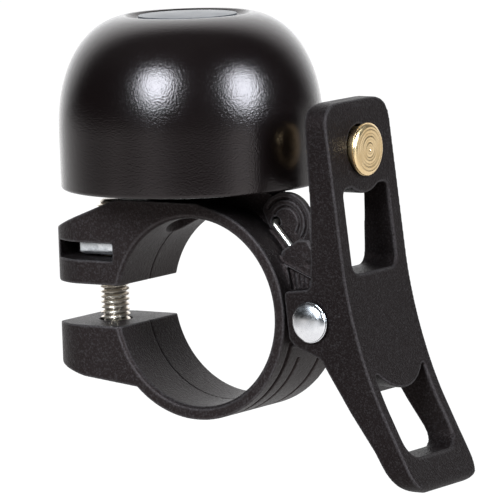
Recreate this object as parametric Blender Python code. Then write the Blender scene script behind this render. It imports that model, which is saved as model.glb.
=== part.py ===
"""Bicycle bell on a hinged handlebar clamp, with a sprung lever that carries a brass striker.

Frame: the origin is the middle of the handlebar bore. +X points to the lever, +Y runs along the
handlebar and +Z is up. Lengths are in metres. Each sub-part is its own object.
"""

import math

import bmesh
import bpy
from mathutils import Matrix, Vector

MM = 0.001
FIT = 0.3 * MM  # clearance of a shaft in its hole
STACK_GAP = 0.1 * MM  # clearance between flat faces that rest on each other
PAST = 1.0 * MM  # how far a cutter reaches past the face it opens

# Clamp ring and its ears
BORE_RADIUS = 12.7 * MM
RING_RADIUS = 14.5 * MM
CLAMP_HALF_WIDTH = 7.1 * MM
PLATFORM_Z = 14.8 * MM
SLIT_TOP_Z = 3.0 * MM
SLIT_BOTTOM_Z = -2.6 * MM
EAR_END_X = -18.5 * MM
EAR_TIP_X = EAR_END_X - CLAMP_HALF_WIDTH
UPPER_EAR_TIP_Z = 9.7 * MM
PLATFORM_END_X = 0.8 * MM
EAR_DROP = 1.7 * MM  # how far the lower ear slopes down towards the screw
SLIT_INNER_X = -8.0 * MM
SLOPE_TOP_X = -12.4 * MM
LOWER_EAR_TIP_Z = -7.9 * MM
LOWER_EAR_ROOT = (-10.2 * MM, -11.0 * MM)

# Clamp screw and its square nut (M4)
SCREW_X = -18.05 * MM
SCREW_RADIUS = 2.0 * MM
SCREW_HEAD_RADIUS = 3.5 * MM
SCREW_HEAD_HEIGHT = 2.0 * MM
SCREW_SEAT_Z = -6.3 * MM
SCREW_TIP_Z = 13.9 * MM
ROUND_EDGE = 0.4 * MM  # edge radius of screw heads and ends
SCREW_POCKET_RADIUS = 4.3 * MM
WASHER_RADIUS = 4.0 * MM
WASHER_HEIGHT = 0.6 * MM
NUT_SIDE = 7.0 * MM
NUT_LOW_Z = 6.65 * MM
NUT_HIGH_Z = 8.5 * MM
NUT_SLOT = (-23.2 * MM, -13.2 * MM)
NUT_SLOT_Z = (6.3 * MM, 8.68 * MM)
NUT_SLOT_BACK_Y = NUT_SIDE / 2 + STACK_GAP
NUT_CORNER = 0.4 * MM
SOCKET_ACROSS_FLATS = 2.5 * MM
SOCKET_DEPTH = 1.4 * MM

# Bell dome, turned about a vertical axis
DOME_X = -4.36 * MM
DOME_RADIUS = 17.83 * MM
DOME_WALL = 1.3 * MM
RIM_Z = 16.5 * MM
SHOULDER_Z = 24.3 * MM
DOME_TOP_Z = 39.6 * MM
DOME_FLAT_RADIUS = 7.2 * MM
SHOULDER_POWER = 2.155
RECESS_RADIUS = 7.0 * MM
RECESS_Z = 38.3 * MM
LIP_Z = 39.25 * MM
DOME_HOLE_RADIUS = 3.6 * MM

# Stack that holds the dome: bolt, lock washer, post, isolator, gasket and cap
BOSS_RADIUS = 5.5 * MM
BOSS_TOP_Z = 19.0 * MM
BOLT_RADIUS = 2.0 * MM
BOLT_HEAD_RADIUS = 3.5 * MM
BOLT_HEAD_Z = (13.1 * MM, 15.2 * MM)
BOLT_TIP_Z = 35.2 * MM
BOLT_POCKET_RADIUS = 3.9 * MM
BOLT_POCKET_Z = 16.2 * MM
LOCK_WASHER_HEIGHT = 0.75 * MM
POST_RADIUS = 4.6 * MM
POST_TOP_Z = 35.8 * MM
POST_STEP_Z = 31.0 * MM
ISOLATOR_RADIUS = 6.0 * MM
ISOLATOR_TOP_Z = 36.9 * MM
GASKET_RADIUS = 6.3 * MM
GASKET_HEIGHT = 0.4 * MM
CAP_RADIUS = 6.75 * MM
CAP_EDGE_Z = 39.4 * MM
CAP_CROWN = 0.35 * MM
CAP_STEM_RADIUS = 3.2 * MM
CAP_STEM_Z = 31.4 * MM
CAP_TAP_Z = 37.4 * MM
RIM_LIP = 0.35 * MM
BOSS_BOTTOM_Z = 13.9 * MM
BOLT_ACCESS_Z = 8.0 * MM

# Lever, its pivot and its striker
PIVOT_X = 19.3 * MM
PIVOT_Z = -0.1 * MM
LEVER_HALF_WIDTH = 7.75 * MM
LEVER_TOP_Z = 28.6 * MM
LEVER_BOTTOM_Z = -22.3 * MM
FORK_HALF_WIDTH = 5.0 * MM
FORK_DEPTH_X = 23.6 * MM
FORK_Z = (-4.6 * MM, 4.7 * MM)
UPPER_WINDOW_HALF = 5.3 * MM
UPPER_WINDOW_Z = (6.1 * MM, 17.3 * MM)
LOWER_WINDOW_HALF = 5.9 * MM
LOWER_WINDOW_Z = (-17.8 * MM, -6.9 * MM)
TONGUE_RADIUS = 7.3 * MM
TONGUE_Z = -2.0 * MM
STRIKER_Z = 22.1 * MM
STRIKER_BOSS_RADIUS = 5.8 * MM
STRIKER_RADIUS = 3.0 * MM
STRIKER_HEAD_RADIUS = 3.5 * MM
STRIKER_TIP_X = 15.5 * MM
STRIKER_SEAT_X = 23.45 * MM
STRIKER_FACE_X = 24.3 * MM
PIN_RADIUS = 1.0 * MM
PIN_HEAD_RADIUS = 2.7 * MM
PIN_HEAD_HEIGHT = 1.1 * MM
PUSH_NUT_RADIUS = 3.0 * MM
PUSH_NUT_HEIGHT = 0.8 * MM
STRIKER_BOSS_X = (18.4 * MM, 22.3 * MM)
STRIKER_DOME = 0.8 * MM
WINDOW_CORNER = 1.5 * MM
UPPER_WINDOW_TOP_CORNER = 1.0 * MM
LEVER_CORNER = 3.2 * MM
WINDOW_X = (12.0 * MM, 40.0 * MM)

# Side view of the lever in millimetres, (X, Z), clockwise from the top of its outer side
LEVER_TOP = ((21.9, 28.6), (22.2, 28.0))
LEVER_BEND = ((24.5, 7.5), (25.26, 1.05), (27.41, -6.63), (30.4, -12.4))
LEVER_TIP = ((34.0, -21.4), 0.9, 20, -80)
LEVER_HEEL = ((33.2, -22.25), (31.6, -21.9), (30.6, -20.4), (28.6, -16.9))
LEVER_INNER = ((24.9, -11.8), (23.2, -9.1), (21.9, -7.3), (20.6, -5.1))
EAR_FOOT = ((18.9, -0.2), 4.0, 262, 215)
EAR_CORNER = ((15.7, 3.2), 0.6, 190, 95)
EAR_FILLET = ((18.3, 5.1), 1.0, 270, 350)
LEVER_SPINE = ((19.6, 15.0), (19.0, 27.9), (19.5, 28.6))

# Lug between the ring and the lever, with the pocket that holds the spring
LUG_HALF_WIDTH = 4.6 * MM
LUG_RADIUS = 3.8 * MM
STOP_RADIUS = 4.0 * MM
STOP_CENTRE = (12.1 * MM, 12.2 * MM)
STOP_Y = (-2.4 * MM, -1.4 * MM)
BUTTRESS_Y = (-1.5 * MM, 2.2 * MM)
POCKET_RADIUS = 3.3 * MM
POCKET_Y = (-3.6 * MM, 2.0 * MM)
SHIELD_Y = (-4.2 * MM, -3.6 * MM)
SHIELD_ROOT = 0.4 * MM  # how far the cheek reaches into the stop block
LEG_CLEARANCE = 0.8 * MM
MOUTH_Z = (-6.0 * MM, 4.6 * MM)

# Side views of the lug's top, the stop block's foot, the buttress behind it and the cheek that
# covers the spring, in millimetres, (X, Z)
LUG_TOP = ((17.6, 5.1), (12.7, 7.1))
STOP_FOOT = ((12.6, 4.6), (16.2, 4.6))
BUTTRESS = ((13.6, 6.0), (12.9, 9.8), (11.4, 13.3), (10.1, 15.1), (8.9, 15.9), (3.6, 15.9), (0.5, 14.5))
BUTTRESS_INSIDE = (88, 30)  # where it ends inside the ring, in degrees
SHIELD = ((12.0, 7.0), (14.0, 3.0), (18.2, 3.0), (18.4, 7.2), (16.6, 10.2), (15.2, 10.22), (12.5, 8.61))

# Torsion spring
WIRE_RADIUS = 0.4 * MM
COIL_RADIUS = 1.55 * MM
COIL_FRONT_Y = -3.0 * MM
COIL_BACK_Y = 1.4 * MM
COIL_TURNS = 5
FIXED_LEG_ANGLE = math.radians(131.4)
FIXED_LEG_LENGTH = 15.0 * MM
FREE_LEG_ANGLE = math.radians(-58.0)
FREE_LEG_LENGTH = 4.7 * MM
LEG_HOOK = 1.6 * MM
HOOK_BEND = 0.35 * MM

ROUND_STEPS = 40
SMALL_STEPS = 24


def clear_scene():
    for thing in list(bpy.data.objects):
        bpy.data.objects.remove(thing, do_unlink=True)


def material(name, colour, roughness, metallic=0.0):
    made = bpy.data.materials.new(name)
    made.use_nodes = True
    shader = made.node_tree.nodes["Principled BSDF"]
    shader.inputs["Base Color"].default_value = (*colour, 1.0)
    shader.inputs["Roughness"].default_value = roughness
    shader.inputs["Metallic"].default_value = metallic
    return made


def finish_mesh(name, shape, surface, smooth_angle=30.0):
    """Turns a bmesh into a named object with outward faces and smooth round sides."""
    bmesh.ops.remove_doubles(shape, verts=shape.verts, dist=1e-7)
    bmesh.ops.recalc_face_normals(shape, faces=shape.faces)
    mesh = bpy.data.meshes.new(name)
    shape.to_mesh(mesh)
    shape.free()
    mesh.shade_smooth()
    mesh.set_sharp_from_angle(angle=math.radians(smooth_angle))
    if surface:
        mesh.materials.append(surface)
    made = bpy.data.objects.new(name, mesh)
    bpy.context.scene.collection.objects.link(made)
    return made


def arc(centre, radius, start, end, steps):
    """Points on a circle, from one angle in degrees to another."""
    points = []
    for i in range(steps + 1):
        turn = math.radians(start + (end - start) * i / steps)
        points.append((centre[0] + radius * math.cos(turn), centre[1] + radius * math.sin(turn)))
    return points


def bezier(start, first, second, end, steps):
    """Points on a cubic curve."""
    points = []
    for i in range(steps + 1):
        t = i / steps
        s = 1 - t
        weights = (s**3, 3 * s * s * t, 3 * s * t * t, t**3)
        corners = (start, first, second, end)
        points.append(tuple(sum(w * c[k] for w, c in zip(weights, corners)) for k in (0, 1)))
    return points


def rounded_box(low, high, radius, steps=6):
    """Outline of a rectangle with round corners, anticlockwise."""
    points = []
    corners = ((high[0], high[1], 0), (low[0], high[1], 90), (low[0], low[1], 180), (high[0], low[1], 270))
    for across, up, turn in corners:
        centre = (
            across - math.copysign(radius, across - (low[0] + high[0]) / 2),
            up - math.copysign(radius, up - (low[1] + high[1]) / 2),
        )
        points += arc(centre, radius, turn, turn + 90, steps)
    return points


def metres(points):
    """An outline given in millimetres, in metres."""
    return [(across * MM, up * MM) for across, up in points]


def place(axis, flat, depth):
    """A point of an outline drawn across the given axis: (X, Z) for Y, (Y, Z) for X, (X, Y) for Z."""
    if axis == "Y":
        return Vector((flat[0], depth, flat[1]))
    if axis == "X":
        return Vector((depth, flat[0], flat[1]))
    return Vector((flat[0], flat[1], depth))


def prism(name, outline, axis, low, high, surface=None):
    """Extrudes a closed outline along one axis."""
    shape = bmesh.new()
    face = shape.faces.new([shape.verts.new(place(axis, point, low)) for point in outline])
    grown = bmesh.ops.extrude_face_region(shape, geom=[face])
    tops = [part for part in grown["geom"] if isinstance(part, bmesh.types.BMVert)]
    bmesh.ops.translate(shape, verts=tops, vec=place(axis, (0, 0), high - low))
    return finish_mesh(name, shape, surface)


def turned(name, profile, axis, centre, surface=None, steps=ROUND_STEPS):
    """Spins a closed profile of (radius, height) points about an axis through centre."""
    along = {"X": Vector((1, 0, 0)), "Y": Vector((0, 1, 0)), "Z": Vector((0, 0, 1))}[axis]
    out = Vector((0, 0, 1)) if axis == "X" else Vector((1, 0, 0))
    shape = bmesh.new()
    verts = [shape.verts.new(out * radius + along * height) for radius, height in profile]
    edges = [shape.edges.new((verts[i - 1], verts[i])) for i in range(len(verts))]
    bmesh.ops.spin(
        shape, geom=verts + edges, cent=(0, 0, 0), axis=along, angle=math.tau, steps=steps, use_merge=True
    )
    bmesh.ops.remove_doubles(shape, verts=shape.verts, dist=1e-7)
    loose = [edge for edge in shape.edges if not edge.link_faces]
    bmesh.ops.delete(shape, geom=loose, context="EDGES")
    bmesh.ops.translate(shape, verts=shape.verts, vec=centre)
    return finish_mesh(name, shape, surface)


def rod(name, radius, axis, low, high, centre, steps=SMALL_STEPS):
    """A plain round bar, used as a cutter or a boss."""
    profile = [(0, low), (radius, low), (radius, high), (0, high)]
    return turned(name, profile, axis, centre, steps=steps)


def ring_profile(inner, outer, low, high):
    return [(inner, low), (outer, low), (outer, high), (inner, high)]


def boolean(target, tool, operation):
    """Joins, cuts or keeps what a hidden helper covers."""
    tool.hide_render = True
    tool.display_type = "WIRE"
    change = target.modifiers.new(f"{operation.lower()}_{tool.name}", "BOOLEAN")
    change.operation = operation
    change.object = tool
    change.solver = "EXACT"


def cut(target, *tools):
    for tool in tools:
        boolean(target, tool, "DIFFERENCE")


def join(target, *tools):
    for tool in tools:
        boolean(target, tool, "UNION")


def move_origin(thing, point):
    """Puts an object's origin at a point of the model without moving its shape."""
    thing.data.transform(Matrix.Translation(-Vector(point)))
    thing.location = point


def clamp_outline():
    """Side view of the clamp with its bore still filled."""
    x_root, z_root = LOWER_EAR_ROOT
    start = math.degrees(math.atan2(z_root, x_root))
    ring = arc((0, 0), RING_RADIUS, start, 75, 48)
    top = [(PLATFORM_END_X, PLATFORM_Z), (SLOPE_TOP_X, PLATFORM_Z), (EAR_TIP_X, UPPER_EAR_TIP_Z)]
    low = [(EAR_TIP_X, LOWER_EAR_TIP_Z), (EAR_END_X, LOWER_EAR_TIP_Z - EAR_DROP)]
    return low + ring + top


def clamp_plan():
    """Top view of the clamp: straight sides and a round end on the ears."""
    end = arc((EAR_END_X, 0), CLAMP_HALF_WIDTH, 90, 270, 24)
    right = RING_RADIUS + PAST
    return end + [(right, -CLAMP_HALF_WIDTH), (right, CLAMP_HALF_WIDTH)]


def lug_outline():
    """Side view of the lug that carries the pivot pin."""
    pivot = (PIVOT_X, PIVOT_Z)
    nose = arc(pivot, LUG_RADIUS, -95, 80, 20)
    inside = arc((0, 0), BORE_RADIUS + 0.6 * MM, 33, -19, 10)
    return nose + metres(LUG_TOP) + inside


def stop_outline():
    """Side view of the rounded block that anchors the spring's fixed leg."""
    return arc(STOP_CENTRE, STOP_RADIUS, 0, 158, 18) + metres(STOP_FOOT)


def buttress_outline():
    """Side view of the web that stiffens the stop block from behind."""
    inside = arc((0, 0), BORE_RADIUS + 0.6 * MM, *BUTTRESS_INSIDE, 12)
    return metres(BUTTRESS) + inside


def fixed_leg_line():
    """Start and end, in (X, Z), of the spring leg that runs up to the stop block."""
    along = Vector((math.cos(FIXED_LEG_ANGLE), math.sin(FIXED_LEG_ANGLE)))
    start = Vector((PIVOT_X, PIVOT_Z)) + COIL_RADIUS * Vector((along.y, -along.x))
    return start, start + along * FIXED_LEG_LENGTH


def clamp_body(surface):
    wide = CLAMP_HALF_WIDTH + PAST
    body = prism("clamp_body", clamp_outline(), "Y", -wide, wide, surface)
    high = PLATFORM_Z + PAST
    low = -RING_RADIUS - PAST
    boolean(body, prism("plan_guide", clamp_plan(), "Z", low, high), "INTERSECT")
    boss = rod("boss_guide", BOSS_RADIUS, "Z", BOSS_BOTTOM_Z, BOSS_TOP_Z, (DOME_X, 0, 0), ROUND_STEPS)
    lug = prism("lug_guide", lug_outline(), "Y", -LUG_HALF_WIDTH, LUG_HALF_WIDTH)
    stop = prism("stop_guide", stop_outline(), "Y", *STOP_Y)
    buttress = prism("buttress_guide", buttress_outline(), "Y", *BUTTRESS_Y)
    shield = prism("shield_guide", metres(SHIELD), "Y", SHIELD_Y[0], SHIELD_Y[1] + SHIELD_ROOT)
    join(body, boss, lug, stop, buttress, shield)
    cut(body, *bore_cutters(), *screw_cutters(), bolt_cutter(), *spring_cutters())
    return body


def bore_cutters():
    wide = CLAMP_HALF_WIDTH + PAST
    bore = rod("bore_cutter", BORE_RADIUS, "Y", -wide, wide, (0, 0, 0), 72)
    left = EAR_TIP_X - PAST
    right = SLIT_INNER_X
    slit = [(left, SLIT_BOTTOM_Z), (right, SLIT_BOTTOM_Z), (right, SLIT_TOP_Z), (left, SLIT_TOP_Z)]
    return bore, prism("slit_cutter", slit, "Y", -wide, wide)


def screw_cutters():
    foot = -RING_RADIUS
    hole = stepped_cutter(
        "screw_cutter",
        SCREW_X,
        (SCREW_POCKET_RADIUS, foot, SCREW_SEAT_Z),
        SCREW_RADIUS,
        SCREW_TIP_Z + STACK_GAP,
    )
    low, high = NUT_SLOT_Z
    slot = [(NUT_SLOT[0], low), (NUT_SLOT[1], low), (NUT_SLOT[1], high), (NUT_SLOT[0], high)]
    front = -CLAMP_HALF_WIDTH - PAST
    return hole, prism("nut_slot_cutter", slot, "Y", front, NUT_SLOT_BACK_Y)


def bolt_cutter():
    pocket = (BOLT_POCKET_RADIUS, BOLT_ACCESS_Z, BOLT_POCKET_Z)
    return stepped_cutter("bolt_cutter", DOME_X, pocket, BOLT_RADIUS, BOSS_TOP_Z + PAST)


def stepped_cutter(name, centre_x, pocket, shank_radius, top):
    """Vertical cutter for a head pocket, given as (radius, low, high), with a shank hole above it."""
    radius, low, high = pocket
    hole = shank_radius + FIT
    profile = [(0, low), (radius, low), (radius, high), (hole, high), (hole, top), (0, top)]
    return turned(name, profile, "Z", (centre_x, 0, 0), steps=SMALL_STEPS)


def spring_cutters():
    """Pin hole, coil pocket, the channels of the two legs and the hole for the hooked end."""
    centre = (PIVOT_X, 0, PIVOT_Z)
    wide = LUG_HALF_WIDTH + PAST
    hole = rod("pin_hole_cutter", PIN_RADIUS + FIT, "Y", -wide, wide, centre)
    right = PIVOT_X + LUG_RADIUS + PAST
    low, high = MOUTH_Z
    mouth = [(PIVOT_X, low), (right, low), (right, high), (PIVOT_X, high)]
    outline = arc((PIVOT_X, PIVOT_Z), POCKET_RADIUS, 90, 270, 16) + mouth
    pocket = prism("coil_pocket_cutter", outline, "Y", *POCKET_Y)
    start, end = fixed_leg_line()
    side = Vector((end.y - start.y, start.x - end.x)).normalized() * -LEG_CLEARANCE
    near, far = start + side, end + side
    above = STOP_CENTRE[1] + STOP_RADIUS
    outline = [tuple(near), (right, near.y), (right, above), (far.x, above), tuple(far)]
    channel = prism("leg_channel_cutter", outline, "Y", POCKET_Y[0], STOP_Y[0] + 0.02 * MM)
    hook = rod("hook_hole_cutter", WIRE_RADIUS + FIT, "Y", STOP_Y[0] - PAST, 0, (end.x, 0, end.y), 16)
    return hole, pocket, channel, hook


def clamp_fasteners(steel, zinc):
    centre = (SCREW_X, 0, 0)
    seat = SCREW_SEAT_Z - STACK_GAP
    washer = ring_profile(SCREW_RADIUS + FIT, WASHER_RADIUS, seat - WASHER_HEIGHT, seat)
    move_origin(turned("clamp_washer", washer, "Z", centre, steel, SMALL_STEPS), (SCREW_X, 0, seat))
    top = seat - WASHER_HEIGHT - STACK_GAP
    bottom = top - SCREW_HEAD_HEIGHT
    edge = ROUND_EDGE
    profile = [(0, bottom), (SCREW_HEAD_RADIUS - edge, bottom), (SCREW_HEAD_RADIUS, bottom + edge)]
    profile += [(SCREW_HEAD_RADIUS, top), (SCREW_RADIUS, top), (SCREW_RADIUS, SCREW_TIP_Z - edge)]
    profile += [(SCREW_RADIUS - edge, SCREW_TIP_Z), (0, SCREW_TIP_Z)]
    screw = turned("clamp_screw", profile, "Z", centre, steel, SMALL_STEPS)
    cut(screw, hex_socket("clamp_socket_cutter", bottom, SCREW_X))
    move_origin(screw, (SCREW_X, 0, top))
    half = NUT_SIDE / 2
    outline = rounded_box((SCREW_X - half, -half), (SCREW_X + half, half), NUT_CORNER, 3)
    nut = prism("clamp_nut", outline, "Z", NUT_LOW_Z, NUT_HIGH_Z, zinc)
    cut(nut, rod("nut_hole_cutter", SCREW_RADIUS + FIT, "Z", NUT_LOW_Z - PAST, NUT_HIGH_Z + PAST, centre))


def hex_socket(name, bottom, centre_x):
    """Cutter for the hexagonal key socket in the underside of a screw's head."""
    outline = arc((centre_x, 0), SOCKET_ACROSS_FLATS / math.sqrt(3), 0, 300, 5)
    return prism(name, outline, "Z", bottom - PAST, bottom + SOCKET_DEPTH)


def dome_profile():
    """Closed half section of the bell: outer wall, shoulder, cap recess and inner wall."""
    outer, inner = [], []
    wall = DOME_WALL
    for i in range(17):
        turn = math.radians(90 * i / 16)
        across = math.cos(turn) ** (2 / SHOULDER_POWER)
        up = math.sin(turn) ** (2 / SHOULDER_POWER)
        outer.append(shoulder(across, up, 0))
        inner.append(shoulder(across, up, wall))
    floor = RECESS_Z - wall
    rim = [(DOME_RADIUS - wall, RIM_Z), (DOME_RADIUS - RIM_LIP, RIM_Z), (DOME_RADIUS, RIM_Z + RIM_LIP)]
    top = [(RECESS_RADIUS, LIP_Z), (RECESS_RADIUS, RECESS_Z)]
    hole = [(DOME_HOLE_RADIUS, RECESS_Z), (DOME_HOLE_RADIUS, floor)]
    inner = [point for point in reversed(inner) if point[1] < floor - 0.2 * MM]
    corner = (inner[0][0] - 0.4 * MM, floor)
    return rim + outer + top + hole + [corner] + inner


def shoulder(across, up, wall):
    """A point of the dome's shoulder, moved in by wall."""
    reach = DOME_RADIUS - DOME_FLAT_RADIUS
    rise = DOME_TOP_Z - SHOULDER_Z
    return (
        DOME_FLAT_RADIUS - wall / 2 + (reach - wall / 2) * across,
        SHOULDER_Z + (rise - wall * 1.3) * up,
    )


def bell_dome(surface):
    return turned("bell_dome", dome_profile(), "Z", (DOME_X, 0, 0), surface, 64)


def dome_stack(steel, aluminium, rubber, nylon, cap_surface):
    """Everything on the dome's axis, from the bolt's head up to the cap."""
    centre = (DOME_X, 0, 0)
    low, high = BOLT_HEAD_Z
    edge = ROUND_EDGE
    head = BOLT_HEAD_RADIUS
    bolt = [(0, low), (head - edge, low), (head, low + edge), (head, high)]
    bolt += [(BOLT_RADIUS, high), (BOLT_RADIUS, BOLT_TIP_Z - edge), (BOLT_RADIUS - edge, BOLT_TIP_Z)]
    bolt += [(0, BOLT_TIP_Z)]
    dome_bolt = turned("dome_bolt", bolt, "Z", centre, steel, SMALL_STEPS)
    cut(dome_bolt, hex_socket("bolt_socket_cutter", low, DOME_X))
    seat = high + STACK_GAP
    washer = ring_profile(BOLT_RADIUS + FIT, BOLT_HEAD_RADIUS, seat, seat + LOCK_WASHER_HEIGHT)
    turned("bolt_lock_washer", washer, "Z", centre, steel, SMALL_STEPS)
    foot = BOSS_TOP_Z + STACK_GAP
    wide, narrow = CAP_STEM_RADIUS + FIT, BOLT_RADIUS + FIT
    post = [(narrow, foot), (POST_RADIUS, foot), (POST_RADIUS, POST_TOP_Z), (wide, POST_TOP_Z)]
    post += [(wide, POST_STEP_Z), (narrow, POST_STEP_Z)]
    turned("dome_post", post, "Z", centre, aluminium, 32)
    isolator = ring_profile(DOME_HOLE_RADIUS, ISOLATOR_RADIUS, POST_TOP_Z + STACK_GAP, ISOLATOR_TOP_Z)
    turned("dome_isolator", isolator, "Z", centre, nylon, 32)
    base = RECESS_Z + STACK_GAP
    gasket = ring_profile(DOME_HOLE_RADIUS, GASKET_RADIUS, base, base + GASKET_HEIGHT)
    turned("cap_gasket", gasket, "Z", centre, rubber, 32)
    dome_cap(base + GASKET_HEIGHT + STACK_GAP, cap_surface)


def dome_cap(under, surface):
    """Slightly crowned disc on a tapped stem."""
    crown = arc((0, CAP_EDGE_Z), 1.0, 0, 90, 6)
    top = [(CAP_RADIUS * x, CAP_EDGE_Z + CAP_CROWN * (z - CAP_EDGE_Z)) for x, z in crown]
    stem = CAP_STEM_RADIUS
    tap = BOLT_RADIUS + FIT
    profile = [(CAP_RADIUS, under)] + top[:-1] + [(0, CAP_EDGE_Z + CAP_CROWN)]
    profile += [(0, CAP_TAP_Z), (tap, CAP_TAP_Z - tap * 0.3), (tap, CAP_STEM_Z)]
    profile += [(stem, CAP_STEM_Z), (stem, under)]
    return turned("dome_cap", profile, "Z", (DOME_X, 0, 0), surface)


def lever_outline():
    """Side view of the lever with its pivot ear, before the fork and the windows are cut."""
    bend = bezier(*LEVER_BEND, 14)
    heel = bezier(*LEVER_HEEL, 8)
    inner = bezier(*LEVER_INNER, 6)
    tip = arc(*LEVER_TIP, 5)
    ear = arc(*EAR_FOOT, 5) + arc(*EAR_CORNER, 4) + arc(*EAR_FILLET, 4)
    return metres([*LEVER_TOP, *bend, *tip, *heel, *inner, *ear, *LEVER_SPINE])


def lever_front():
    """Front view of the lever: a strip with round corners."""
    low = (-LEVER_HALF_WIDTH, LEVER_BOTTOM_Z)
    high = (LEVER_HALF_WIDTH, LEVER_TOP_Z)
    return rounded_box(low, high, LEVER_CORNER, 8)


def window_foot(half, low):
    """The round bottom corners of a window, from left to right."""
    left = arc((-half + WINDOW_CORNER, low + WINDOW_CORNER), WINDOW_CORNER, 180, 270, 4)
    return left + arc((half - WINDOW_CORNER, low + WINDOW_CORNER), WINDOW_CORNER, 270, 360, 4)


def upper_window():
    """Opening below the striker; the striker's boss bulges into its top edge."""
    low, high = UPPER_WINDOW_Z
    half = UPPER_WINDOW_HALF
    reach = math.degrees(math.acos((STRIKER_Z - high) / STRIKER_BOSS_RADIUS))
    bulge = arc((0, STRIKER_Z), STRIKER_BOSS_RADIUS, 270 + reach, 270 - reach, 10)
    corner = UPPER_WINDOW_TOP_CORNER
    right = arc((half - corner, high - corner), corner, 0, 90, 4)
    left = arc((corner - half, high - corner), corner, 90, 180, 4)
    return window_foot(half, low) + right + bulge + left[:-1]


def lower_window():
    """Opening near the tip, with a round tongue for its top edge."""
    low, high = LOWER_WINDOW_Z
    half = LOWER_WINDOW_HALF
    reach = math.degrees(math.acos((TONGUE_Z - high) / TONGUE_RADIUS))
    tongue = arc((0, TONGUE_Z), TONGUE_RADIUS, 270 + reach, 270 - reach, 12)
    return window_foot(half, low) + [(half, high)] + tongue + [(-half, high)]


def lever_arm(surface):
    wide = LEVER_HALF_WIDTH + PAST
    lever = prism("lever_arm", lever_outline(), "Y", -wide, wide, surface)
    near, far = WINDOW_X
    boolean(lever, prism("lever_front_guide", lever_front(), "X", near, far), "INTERSECT")
    seat = (0, 0, STRIKER_Z)
    join(lever, rod("striker_boss_guide", STRIKER_BOSS_RADIUS, "X", *STRIKER_BOSS_X, seat, ROUND_STEPS))
    fork = [(near, FORK_Z[0]), (FORK_DEPTH_X, FORK_Z[0]), (FORK_DEPTH_X, FORK_Z[1]), (near, FORK_Z[1])]
    cut(
        lever,
        prism("fork_cutter", fork, "Y", -FORK_HALF_WIDTH, FORK_HALF_WIDTH),
        prism("upper_window_cutter", upper_window(), "X", near, far),
        prism("lower_window_cutter", lower_window(), "X", near, far),
        rod("pivot_hole_cutter", PIN_RADIUS + FIT, "Y", -wide, wide, (PIVOT_X, 0, PIVOT_Z)),
        rod("striker_hole_cutter", STRIKER_RADIUS + FIT, "X", near, far, seat, ROUND_STEPS),
    )
    move_origin(lever, (PIVOT_X, 0, PIVOT_Z))
    return lever


def striker(surface):
    """Brass slug: a domed striking end, a shank through the lever and a grooved head."""
    edge = ROUND_EDGE
    turns = arc_turns(5)
    tip = [(STRIKER_RADIUS * math.sin(a), STRIKER_TIP_X + STRIKER_DOME * (1 - math.cos(a))) for a in turns]
    head = STRIKER_HEAD_RADIUS
    shank = [(STRIKER_RADIUS, STRIKER_SEAT_X), (head, STRIKER_SEAT_X), (head, STRIKER_FACE_X - edge)]
    profile = tip + shank + [(head - edge, STRIKER_FACE_X), (0, STRIKER_FACE_X)]
    slug = turned("striker", profile[::-1], "X", (0, 0, STRIKER_Z), surface, 32)
    move_origin(slug, (PIVOT_X, 0, PIVOT_Z))
    return slug


def arc_turns(steps):
    return [math.pi / 2 * i / steps for i in range(steps + 1)]


def pivot(surface, steel):
    """Pin with a domed head at the front, held at the back by a push nut."""
    centre = (PIVOT_X, 0, PIVOT_Z)
    seat = -LEVER_HALF_WIDTH - FIT
    dome = [
        (PIN_HEAD_RADIUS * math.sin(a), seat - 0.3 * MM - (PIN_HEAD_HEIGHT - 0.3 * MM) * math.cos(a))
        for a in arc_turns(6)
    ]
    end = LEVER_HALF_WIDTH + FIT + PUSH_NUT_HEIGHT + 0.5 * MM
    shank = [(PIN_HEAD_RADIUS, seat), (PIN_RADIUS, seat), (PIN_RADIUS, end - 0.3 * MM)]
    profile = dome + shank + [(PIN_RADIUS - 0.3 * MM, end), (0, end)]
    turned("pivot_pin", profile, "Y", centre, surface, SMALL_STEPS)
    low = LEVER_HALF_WIDTH + FIT
    nut = ring_profile(PIN_RADIUS + FIT, PUSH_NUT_RADIUS, low, low + PUSH_NUT_HEIGHT)
    turned("pin_push_nut", nut, "Y", centre, steel, SMALL_STEPS)


def spring_path():
    """Points of the wire: hooked fixed leg, coil round the pin, and the free leg on the lever."""
    start, end = fixed_leg_line()
    front = COIL_FRONT_Y
    points = [Vector((end.x, front + LEG_HOOK, end.y)), Vector((end.x, front + HOOK_BEND, end.y))]
    along = (start - end).normalized()
    bend = end + along * HOOK_BEND
    points += [Vector((bend.x, front, bend.y)), Vector((start.x, front, start.y))]
    first = math.atan2(start.y - PIVOT_Z, start.x - PIVOT_X)
    last = FREE_LEG_ANGLE + math.pi / 2
    sweep = last - first - math.tau * COIL_TURNS
    steps = 16 * COIL_TURNS
    for i in range(1, steps + 1):
        turn = first + sweep * i / steps
        depth = front + (COIL_BACK_Y - front) * i / steps
        across, up = COIL_RADIUS * math.cos(turn), COIL_RADIUS * math.sin(turn)
        points.append(Vector((PIVOT_X + across, depth, PIVOT_Z + up)))
    leg = Vector((math.cos(FREE_LEG_ANGLE), 0, math.sin(FREE_LEG_ANGLE))) * FREE_LEG_LENGTH
    points.append(points[-1] + leg)
    return points


def lever_spring(surface):
    curve = bpy.data.curves.new("lever_spring", "CURVE")
    curve.dimensions = "3D"
    curve.bevel_depth = WIRE_RADIUS
    curve.bevel_resolution = 1
    curve.use_fill_caps = True
    points = spring_path()
    spline = curve.splines.new("POLY")
    spline.points.add(len(points) - 1)
    for slot, point in zip(spline.points, points):
        slot.co = (*point, 1.0)
    curve.materials.append(surface)
    spring = bpy.data.objects.new("lever_spring", curve)
    bpy.context.scene.collection.objects.link(spring)
    return spring


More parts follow.
